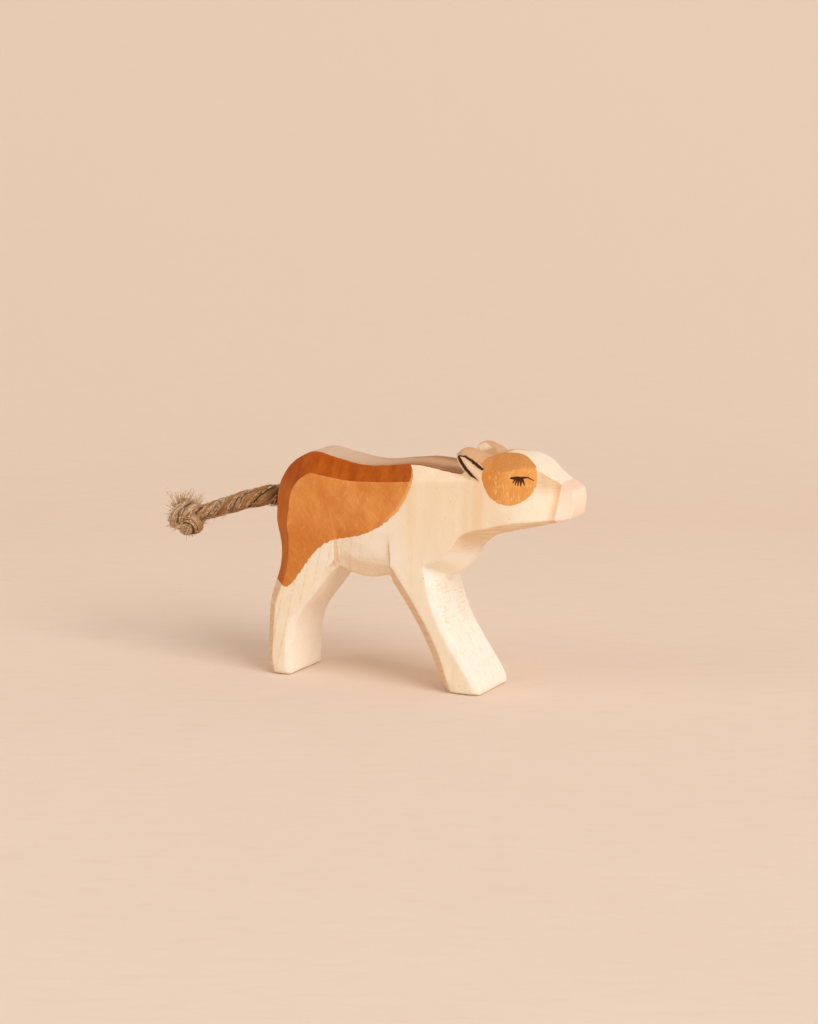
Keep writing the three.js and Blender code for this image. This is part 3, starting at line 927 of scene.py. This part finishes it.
# %% Growth lines and pores
GROWTH_LEAN = math.radians(-13)
GROWTH_TAN = srgb(214, 162, 110)
along_leg = node("Mapping", place, None, (0, GROWTH_LEAN, 0))
spread = vector("MULTIPLY", along_leg, (1, 0.3, 0.2))
growth = node(
    "TexWave", spread, 0.11, 2.4, 2, 0.2,
    out=1, wave_type="BANDS", bands_direction="X", wave_profile="SIN",
)
broken = step(noise(place, (1.2, 1.2, 0.8), 3), 0.3, 0.66)
hind = both(step(x, -12, -20), step(z, 46, 40), step(side_facing, 0.8, 0.95))
bare = tint(bare, both(step(growth, 0.86, 1), broken, hind), 0.3, GROWTH_TAN)
spotted = vector("MULTIPLY", place, (0.75, 0.75, 0.55))
pore_cells = node("TexVoronoi", spotted, None, 1)
pore_pick = node("SeparateXYZ", pore_cells.node.outputs[1])
pores = both(step(pore_cells, 0.13, 0.06), step(pore_pick, 0.82, 0.88))
count_nodes("growth lines and pores")

# %% [markdown]
# On the front of the forelegs the knife left short dashes across the grain. They are stretched noise, kept
# to the faces that look forwards. The facet under the chest, which looks down, is painted pale as painted
# light bounced up from the floor, and the throat above it gets a little tan painted shade.

# %% Knife dashes, painted light under the chest, painted shade on the throat
DASH_TAN = srgb(236, 196, 148)
CHEST_PAINTED_LIGHT = srgb(253, 243, 220)
THROAT_SHADE = srgb(224, 178, 128)
dashes = noise(place, (0.15, 0.24, 1.7), 3, 0.55)
forelegs = both(step(face_x, 0.6, 0.75), step(z, 14, 22), step(x, 0, 3))
bare = tint(bare, both(step(dashes, 0.57, 0.66), forelegs), 0.5, DASH_TAN)
under_front = both(step(face_z, -0.05, -0.35), step(x, 3, 7))
# Painted light on the down-facing facet under the chest.
bare = tint(bare, both(under_front, step(z, 41, 37)), 0.7, CHEST_PAINTED_LIGHT)
throat = both(under_front, step(z, 37, 42), step(z, 53, 50))
# Painted shade on the underside of the neck.
bare = tint(bare, throat, 0.4, THROAT_SHADE)
count_nodes("cuts")

# %% [markdown]
# The bevels behind the legs, which look away from the lamp, the bottom of the belly with the wall of its
# hollow, and the sides of the nose get a tan painted shade. The belly's painted shade rises towards the
# hollow, so its edge is the higher of two straight lines. Under the jaw the knife left pale dashes. The
# forehead, the face that looks up, is painted nearly white, as painted light.

# %% Painted shade on bevels, belly and nose, painted light on the forehead
SHADE_TAN_DEEP, SHADE_TAN_LIGHT = srgb(212, 158, 104), srgb(228, 182, 134)
HOLLOW_SHADE = srgb(184, 146, 110)
JAW_TAN = srgb(238, 200, 152)
FOREHEAD_PAINTED_LIGHT = srgb(243, 228, 208)
BELLY_SLOPE, BELLY_HEIGHT = -0.06, 33.4
RISE_SLOPE, RISE_HEIGHT = -0.7, 22.5
dashed = step(dashes, 0.4, 0.64)
back_bevels = both(step(face_x, -0.25, -0.55), step(z, 50, 44))
hollow_wall = both(step(face_x, 0.35, 0.6), step(x, -14, -16), step(z, 31, 34))
jaw_edge = both(step(face_z, -0.3, -0.6), step(x, 16, 20))
nose_side = both(step(x, 34, 37.5), step(z, 56, 59.5), step(side_facing, 0.6, 0.85))
belly_line = times_plus(x, BELLY_SLOPE, BELLY_HEIGHT)
rising_line = times_plus(x, RISE_SLOPE, RISE_HEIGHT)
below_line = minus(either(belly_line, rising_line), z)
belly_along = both(step(x, -22, -20.5), step(x, -4, -7))
belly_shade = both(belly_along, step(z, 28, 30), step(below_line, -0.5, 0.5))
forehead = both(step(face_z, 0.35, 0.6), step(x, 27, 30))
# Painted shade on the bevels behind the legs, the bottom of the belly and the sides of the nose.
painted_shade = either(back_bevels, both(belly_shade, 0.45), nose_side)
bare = tint(bare, painted_shade, 0.62, mix(dashed, SHADE_TAN_DEEP, SHADE_TAN_LIGHT))
# Painted shade on the wall of the belly's hollow.
bare = tint(bare, hollow_wall, 0.5, HOLLOW_SHADE)
bare = tint(bare, jaw_edge, 0.6, mix(dashed, JAW_TAN, LIGHT_GRAIN))
# Painted light on the forehead, the face that looks up.
bare = tint(bare, forehead, 0.7, FOREHEAD_PAINTED_LIGHT)
count_nodes("cross cuts")

# %% [markdown]
# ## The brown stain
# Rump, flank and back are washed with a brown stain. Its lower edge was drawn with a brush, so it is a
# free curve with small teeth where the bristles stopped. The edge is drawn in axes that lie at 45
# degrees, where it is a gentle curve that one Float Curve node can hold.

# %% Draw the edge of the stain
EDGE_START, EDGE_LENGTH = -13, 60
EDGE_LOW, EDGE_DEPTH = 36, 24
DIAGONAL = 0.7071
STAIN_EDGE = [
    (-13, 56), (-11, 49.2), (-10, 47), (-9.4, 45.6), (-7.3, 45), (-3.8, 45.4), (0.1, 46.1),
    (5, 46.5), (9.7, 45.9), (14.6, 43.2), (20.4, 40), (26.7, 38.3), (31, 37.9), (36.1, 38.7),
    (40.4, 40.4), (42.1, 41.7), (43.2, 43.2), (43.6, 46), (45, 52), (47, 60),
]
along_edge = vector("DOT_PRODUCT", place, (DIAGONAL, 0, DIAGONAL), out=1)
over_edge = vector("DOT_PRODUCT", place, (-DIAGONAL, 0, DIAGONAL), out=1)
edge_share = node("MapRange", along_edge, EDGE_START, EDGE_START + EDGE_LENGTH, 0, 1)
edge = node("FloatCurve", 1, edge_share)
edge_curve = edge.node.mapping.curves[0]
edge_points = [((u - EDGE_START) / EDGE_LENGTH, (v - EDGE_LOW) / EDGE_DEPTH) for u, v in STAIN_EDGE]
edge_curve.points[0].location = edge_points[0]
edge_curve.points[1].location = edge_points[-1]
for point in edge_points[1:-1]:
    edge_curve.points.new(*point)
edge.node.mapping.update()
print("stain edge:", len(edge_curve.points), "points")

# %% [markdown]
# The height above this edge, roughened by a streaky noise, decides what is stained. On the neck only the
# narrow top face is stained, up to the ears.

# %% Where the stain lies
STAIN_TEETH = 1.1
teeth = noise(place, (1.5, 1.5, 0.5), 3, 0.6)


def ragged(distance, depth):
    """Shift an edge to and fro, as bristles do."""
    return calc("ADD", distance, times_plus(teeth, depth, -depth / 2))


inside = minus(over_edge, times_plus(edge, EDGE_DEPTH, EDGE_LOW))
inside = ragged(inside, STAIN_TEETH)
rump_stain = step(inside, -0.1, 0.14)
top_facing = step(times_plus(teeth, 0.12, face_z), 0.72, 0.84)
neck_along = both(step(x, -8, -7), step(x, 16.4, 15.9))
neck_height = both(step(z, 57, 59), step(z, 63.9, 63.5))
brown_stain = either(rump_stain, both(top_facing, neck_along, neck_height))
count_nodes("stain masks")

# %% [markdown]
# The cut bevels round the rump soak up more stain than the sanded flank, so they are darker, and darkest
# where they look up. On the flank the scratches show as light lines in the stain.

# %% Stain on flank and bevels
FLANK_BROWN = srgb(228, 150, 78)
FLANK_DEEP = srgb(204, 116, 44)
FLANK_LIGHT = srgb(246, 190, 122)
BEVEL_BROWN, BEVEL_DEEP = srgb(200, 110, 38), srgb(174, 87, 20)
TOP_BROWN, TOP_DEEP = srgb(186, 91, 18), srgb(158, 66, 4)
outer_edge = either(step(z, 49, 53), step(x, -31.5, -34))
bevelled = both(step(side_facing, 0.975, 0.945), outer_edge)
wash = noise(place, (0.2, 0.2, 0.13), 4, 0.6)
washed = step(wash, 0.3, 0.75)
flat_brown = tint(FLANK_BROWN, washed, 0.7, FLANK_DEEP)
flat_brown = tint(flat_brown, step(z, 50, 38), 0.6, FLANK_DEEP)
flat_brown = tint(flat_brown, scratches, 0.34, FLANK_LIGHT)
flat_brown = tint(flat_brown, step(fine_grain, 0.5, 0.8), 0.3, FLANK_DEEP)
streaks = noise(place, (0.3, 0.12, 0.12), 3, 0.6)
top_brown = mix(step(streaks, 0.3, 0.7), TOP_BROWN, TOP_DEEP)
cut_brown = tint(BEVEL_BROWN, washed, 0.8, BEVEL_DEEP)
cut_brown = tint(cut_brown, step(face_z, 0.15, 0.4), 0.9, top_brown)
cut_brown = tint(cut_brown, scratches, 0.25, FLANK_DEEP)
brown = mix(bevelled, flat_brown, cut_brown)
count_nodes("flank and bevels")

# %% [markdown]
# The flat top of the back is painted pale, as a painted reflection of the bright room, and turns greyish
# brown towards the neck. At its front end the stain has a lighter rim, where it dried last. The tops of the
# ears are only toned.

# %% Paint a reflection on the back and lay the stain over the wood
RIDGE_LIGHT, RIDGE_BROWN = srgb(203, 159, 119), srgb(166, 115, 76)
RIDGE_RIM = srgb(140, 76, 36)
SHEEN_PALE = srgb(217, 190, 163)
EAR_TONE = srgb(206, 152, 104)
ridge_brown = mix(step(half_width, 1, 7), RIDGE_LIGHT, RIDGE_BROWN)
ridge_brown = tint(ridge_brown, step(face_z, 0.97, 0.86), 0.7, RIDGE_RIM)
top_sheen = mix(step(x, -28, 4), SHEEN_PALE, ridge_brown)
# Painted reflection: the flat top of the back is painted pale, as the bright room would show in it.
brown = tint(brown, step(face_z, 0.8, 0.93), 0.88, top_sheen)
rim = both(step(inside, 1, 0.7), rump_stain, step(x, -9, -4), step(face_z, 0.8, 0.6))
brown = tint(brown, rim, 0.55, FLANK_LIGHT)
stained = mix(brown_stain, bare, brown)
ear_along = both(step(x, 12, 13), step(x, 25.6, 23.5))
ear_top = both(step(face_z, 0.3, 0.6), step(z, 62.8, 64), ear_along)
toned = tint(stained, ear_top, 0.8, EAR_TONE)
count_nodes("stain")

# %% [markdown]
# ## Painted face
# A round ochre patch lies round each eye, dabbed on with short strokes. It is a circle seen from the
# side, and it stops short of the middle of the forehead. Towards the ear it is deeper, and the part that
# looks up is a little duller.

# %% Ochre patch round each eye
PATCH_X, PATCH_Z, PATCH_RADIUS = 28.7, 61.15, 7.4
PATCH_TEETH, PATCH_BLUR = 0.9, 0.12
MIDDLE_GAP = 1.2
FAR_GAP = 4.5
EAR_BULGE = 1.2
CROWN_SLOPE, CROWN_START = 0.72, -19.3
OCHRE_LIGHT, OCHRE_DEEP = srgb(238, 168, 92), srgb(224, 148, 70)
OCHRE_EARWARD = srgb(216, 134, 58)
OCHRE_DULL = srgb(204, 134, 72)
DAB_PALE = srgb(248, 208, 150)
from_x = minus(x, PATCH_X)
from_z = minus(z, PATCH_Z)
reach = calc("SQRT", times_plus(from_x, from_x, both(from_z, from_z)))
reach = ragged(reach, PATCH_TEETH)
reach = minus(reach, both(step(x, 27, 23.5), step(z, 63, 65), EAR_BULGE))
in_circle = step(reach, PATCH_RADIUS + PATCH_BLUR, PATCH_RADIUS - PATCH_BLUR)
left_side = both(step(y, -0.5, 0.5), FAR_GAP - MIDDLE_GAP)
crown_limit = either(MIDDLE_GAP, times_plus(x, CROWN_SLOPE, CROWN_START))
from_middle = minus(half_width, calc("ADD", crown_limit, left_side))
ochre_patch = both(in_circle, step(from_middle, -0.1, 0.15))
dabs = noise(place, (2.6, 2.6, 0.55), 2, 0.5)
dab_share = times_plus(step(face_z, 0.75, 0.4), 0.33, 0.22)
ochre = mix(step(wash, 0.3, 0.7), OCHRE_LIGHT, OCHRE_DEEP)
ochre = tint(ochre, step(x, 28, 23), 0.6, OCHRE_EARWARD)
ochre = tint(ochre, step(face_z, 0.1, 0.55), 0.8, OCHRE_DULL)
ochre = tint(ochre, step(dabs, 0.55, 0.7), dab_share, DAB_PALE)
painted = mix(ochre_patch, toned, ochre)
count_nodes("patch")

# %% [markdown]
# The muzzle has a thin pink wash, strongest on top of the nose. Just behind it on the cheeks lies an orange
# painted shade, in the hollow behind the muzzle's crease.

# %% Pink muzzle
CREASE_FOOT, CREASE_LEAN = 36.7, 0.088
MUZZLE_TEETH = 0.4
CHEEK_SHADE_ORANGE = srgb(224, 160, 104)
PINK_PALE, PINK_TOP = srgb(253, 224, 202), srgb(246, 204, 182)
ahead = minus(x, times_plus(z, CREASE_LEAN, CREASE_FOOT))
ahead = ragged(ahead, MUZZLE_TEETH)
behind_crease = both(step(ahead, -2.6, -0.1), step(ahead, 0.15, -0.1))
cheek_shade = both(behind_crease, step(half_width, 4, 4.8))
# Painted shade in the hollow behind the muzzle's crease.
painted = tint(painted, cheek_shade, 0.6, CHEEK_SHADE_ORANGE)
pink = mix(step(face_z, 0.25, 0.5), PINK_PALE, PINK_TOP)
painted = tint(painted, step(ahead, -0.15, 0.2), 0.8, pink)
count_nodes("muzzle")

# %% [markdown]
# Ears and eyes are drawn with a fine dark brush. A small node group measures the distance to one straight
# brush stroke, and every line on the face is a chain of these. The group also gives a wider, softer halo,
# for the stain that bled into the ears.

# %% A node group for one brush stroke
stroke_group = bpy.data.node_groups.new("brush stroke", "ShaderNodeTree")
for side, kind, names in (
    ("INPUT", "Vector", ("Place", "From", "Way", "Way over its square")),
    ("INPUT", "Float", ("Start radius", "Growth")),
    ("OUTPUT", "Float", ("Paint", "Halo")),
):
    for name in names:
        stroke_group.interface.new_socket(name, in_out=side, socket_type="NodeSocket" + kind)
tree = stroke_group
given = tree.nodes.new("NodeGroupInput").outputs
result = tree.nodes.new("NodeGroupOutput")
from_start = vector("SUBTRACT", given[0], given[1])
share = node("Clamp", vector("DOT_PRODUCT", from_start, given[3], out=1), 0, 1)
nearest = vector("SCALE", given[2])
tree.links.new(share, nearest.node.inputs[3])
apart = vector("SUBTRACT", from_start, nearest)
distance = vector("LENGTH", apart, out=1)
gap = minus(distance, times_plus(share, given[5], given[4]))
tree.links.new(step(gap, 0.06, -0.08), result.inputs[0])
tree.links.new(step(gap, 0.9, -0.1), result.inputs[1])
tree = wood.node_tree
print("brush stroke:", len(stroke_group.nodes), "nodes")

# %% [markdown]
# A line is a list of points with the brush's radius at each. A slow wobble of the place keeps the lines
# from looking ruled.

# %% Brush lines
WOBBLE = 0.4
wobble = node("TexNoise", place, None, 0.9, 2, out=1)
wobble = vector("SUBTRACT", wobble, (0.5, 0.5, 0.5))
wobble = vector("MULTIPLY", wobble, (WOBBLE, 0, WOBBLE))
flat_place = vector("MULTIPLY", place, (1, 0, 1))
brush_place = vector("ADD", flat_place, wobble)


def brush_line(points):
    """Paint and halo along points of (x, z, radius), in millimetres on the side of the head."""
    paint, halo = 0, 0
    for (ax, az, start), (bx, bz, end) in zip(points, points[1:]):
        way = Vector((bx - ax, 0, bz - az))
        stroke = node(
            "Group", brush_place, (ax, 0, az), way, way / way.length_squared, start, end - start,
            node_tree=stroke_group,
        )
        paint = either(stroke, paint)
        halo = either(stroke.node.outputs[1], halo)
    return paint, halo


print("brush lines ready")

# %% [markdown]
# The closed eye is a lid with short lashes. Each ear has two lines that meet at its tip. Only faces that
# look sideways are painted, so the lines don't run through the block.

# %% Draw ears, lids and lashes
EYE_LINES = [
    [(29.5, 61.2, 0.3), (30.4, 61.2, 0.38), (32.6, 61.4, 0.32), (33.8, 61.4, 0.22), (35.2, 60.6, 0.13)],
    [(30.5, 61, 0.28), (30, 59.9, 0.12)], [(31, 61, 0.34), (30.6, 59.4, 0.14)],
    [(31.5, 61, 0.36), (31.35, 59.2, 0.16)], [(32, 61, 0.36), (32.1, 59.2, 0.16)],
    [(32.4, 61, 0.34), (32.9, 59.4, 0.14)],
]
EAR_LINES = [
    [(14.5, 66.4, 0.2), (16.4, 66.2, 0.32), (18.3, 65.2, 0.44), (20.1, 64, 0.48), (21.3, 63.2, 0.36)],
    [(14.3, 66.1, 0.36), (15.1, 64.8, 0.52), (16.4, 63, 0.52), (18.3, 61.2, 0.4), (19.95, 60.1, 0.1)],
]
BLED_BROWN = srgb(176, 112, 60)
PORE_BROWN = srgb(150, 88, 44)
LINE_BROWN = srgb(62, 20, 4)
dark_lines, bled = 0, 0
for points in EYE_LINES:
    dark_lines = either(brush_line(points)[0], dark_lines)
for points in EAR_LINES:
    paint, halo = brush_line(points)
    dark_lines = either(paint, dark_lines)
    bled = either(halo, bled)
outward = step(both(face_y, calc("SIGN", y)), 0.5, 0.7)
painted = tint(painted, both(bled, outward), 0.4, BLED_BROWN)
painted = tint(painted, pores, 0.4, PORE_BROWN)
painted = tint(painted, both(dark_lines, outward), 0.97, LINE_BROWN)
count_nodes("face lines")

# %% [markdown]
# The stain is thin varnish and shines a little more than the bare wood. Scratches and pores are pressed
# in with a very shallow bump.

# %% Finish the wood: gloss and relief
ROUGH_BARE, ROUGH_STAINED = 0.58, 0.42
RELIEF_STRENGTH, RELIEF_DEPTH = 0.35, 0.00006
gloss = node("MapRange", brown_stain, 0, 1, ROUGH_BARE, ROUGH_STAINED)
gloss = calc("ADD", gloss, times_plus(fine_grain, 0.16, -0.08))
relief = times_plus(scratches, -0.6, fine_grain)
relief = times_plus(pores, -1, relief)
wire(wood, "Base Color", painted)
wire(wood, "Roughness", gloss)
wire(wood, "Normal", node("Bump", RELIEF_STRENGTH, RELIEF_DEPTH, None, relief))
fix(wood, "Specular IOR Level", DULL_GLOSS)
dress(body, wood)
count_nodes("wood finish")

# %% [markdown]
# ## Paper sweep
# The toy stands on a roll of beige paper that curves up behind it, so there is no edge between floor and
# background. A plane gets its back edge pulled up, and a wide bevel rounds the fold.

# %% Roll out the paper
PAPER_WIDTH, PAPER_FRONT, PAPER_BACK, PAPER_HEIGHT = 6, 3, 0.75, 1.6
FOLD_WIDTH, FOLD_STEPS = 0.5, 24
clear_selection()
bpy.ops.mesh.primitive_plane_add(size=1)
paper = bpy.context.object
paper.name = "paper_sweep"
for corner in paper.data.vertices:
    corner.co.x *= PAPER_WIDTH
    corner.co.y = PAPER_BACK if corner.co.y > 0 else -PAPER_FRONT
set_mode("EDIT")
bpy.ops.mesh.select_mode(type="EDGE")
bpy.ops.mesh.select_all(action="DESELECT")
set_mode("OBJECT")
for border in paper.data.edges:
    border.select = all(paper.data.vertices[i].co.y > 0 for i in border.vertices)
set_mode("EDIT")
bpy.ops.mesh.extrude_region_move(TRANSFORM_OT_translate={"value": (0, 0, PAPER_HEIGHT)})
set_mode("OBJECT")
fold = paper.modifiers.new("Fold", "BEVEL")
fold.width = FOLD_WIDTH
fold.segments = FOLD_STEPS
fold.limit_method = "ANGLE"
paper.rotation_euler = (0, 0, AZIMUTH)
apply_modifiers(paper)
bpy.ops.object.transform_apply(location=True, rotation=True, scale=True)
bpy.ops.object.shade_smooth()
print("paper:", len(paper.data.polygons), "faces")

# %% [markdown]
# Paper is dull and nearly even. A slow noise between two close tones and faint fibres, which lie across the
# roll, keep it from looking computed. Towards the back it is painted a little greyer, as painted shade.

# %% Paper finish
CARD_TONES = srgb(235, 214, 196), srgb(239, 219, 202)
CARD_FIBRE = srgb(228, 204, 183)
CARD_BACK_SHADE = srgb(226, 205, 185)
card = new_finish("beige_paper")
tree = card.node_tree
card_place = node("Mapping", node("TexCoord", out=3), None, (0, 0, -AZIMUTH))
card_depth = node("SeparateXYZ", card_place, out=1)
card_tone = noise(card_place, (14, 14, 14), 5, 0.6)
card_fibres = noise(card_place, (90, 300, 300), 3, 0.6)
card_colour = mix(card_tone, *CARD_TONES)
card_colour = tint(card_colour, step(card_fibres, 0.5, 0.75), 0.3, CARD_FIBRE)
# Painted shade: greyer towards the back of the sweep.
card_colour = mix(step(card_depth, 0.05, 0.7), card_colour, CARD_BACK_SHADE)
wire(card, "Base Color", card_colour)
fix(card, "Roughness", 0.9)
fix(card, "Specular IOR Level", DULL_GLOSS)
dress(paper, card)
count_nodes("paper finish")

# %% [markdown]
# ## Light
# A big soft lamp stands far off to the right and a little in front, so that floor and background are lit
# alike. A weaker one fills from the left. Both are white.

# %% Lamps
KEY_DIRECTION, KEY_LEVEL = (0.85, -0.4, 0.6), 0.61
FILL_DIRECTION, FILL_LEVEL = (-0.9, -0.9, 0.6), 0.17


def soft_lamp(direction, distance, size, level):
    """A square lamp that gives a white face square to it the brightness level."""
    direction = Vector(direction).normalized()
    bpy.ops.object.light_add(
        type="AREA",
        location=aim + direction * distance,
        rotation=(-direction).to_track_quat("-Z", "Y").to_euler(),
    )
    lamp = bpy.context.object.data
    lamp.size = size
    lamp.energy = level * math.pi ** 2 * distance ** 2
    return lamp


key = soft_lamp(KEY_DIRECTION, 3.5, 2, KEY_LEVEL)
fill = soft_lamp(FILL_DIRECTION, 1.3, 0.8, FILL_LEVEL)
print("lamps:", round(key.energy, 1), "W and", round(fill.energy, 1), "W")

# %% [markdown]
# The world lifts the shadows, and is slightly warm because the room around the toy is beige paper too. Where
# the camera or a gloss looks past the paper's end, it sees the paper's own tone and not the light.

# %% World
WARM_WHITE = (1, 0.95, 0.88, 1)
WORLD_LEVEL = 0.52
BEYOND_PAPER = srgb(228, 205, 183)
world = bpy.data.worlds.new("studio")
world.use_nodes = True
tree = world.node_tree
room_light = tree.nodes["Background"]
room_light.inputs["Color"].default_value = WARM_WHITE
room_light.inputs["Strength"].default_value = WORLD_LEVEL
beyond = node("Background", BEYOND_PAPER)
rays = tree.nodes.new("ShaderNodeLightPath").outputs
seen = either(rays["Is Camera Ray"], rays["Is Glossy Ray"], rays["Is Transmission Ray"])
shown = node("MixShader", seen, room_light.outputs[0], beyond)
tree.links.new(shown, tree.nodes["World Output"].inputs["Surface"])
bpy.context.scene.world = world
bpy.context.scene.view_settings.view_transform = "Standard"
count_nodes("world")
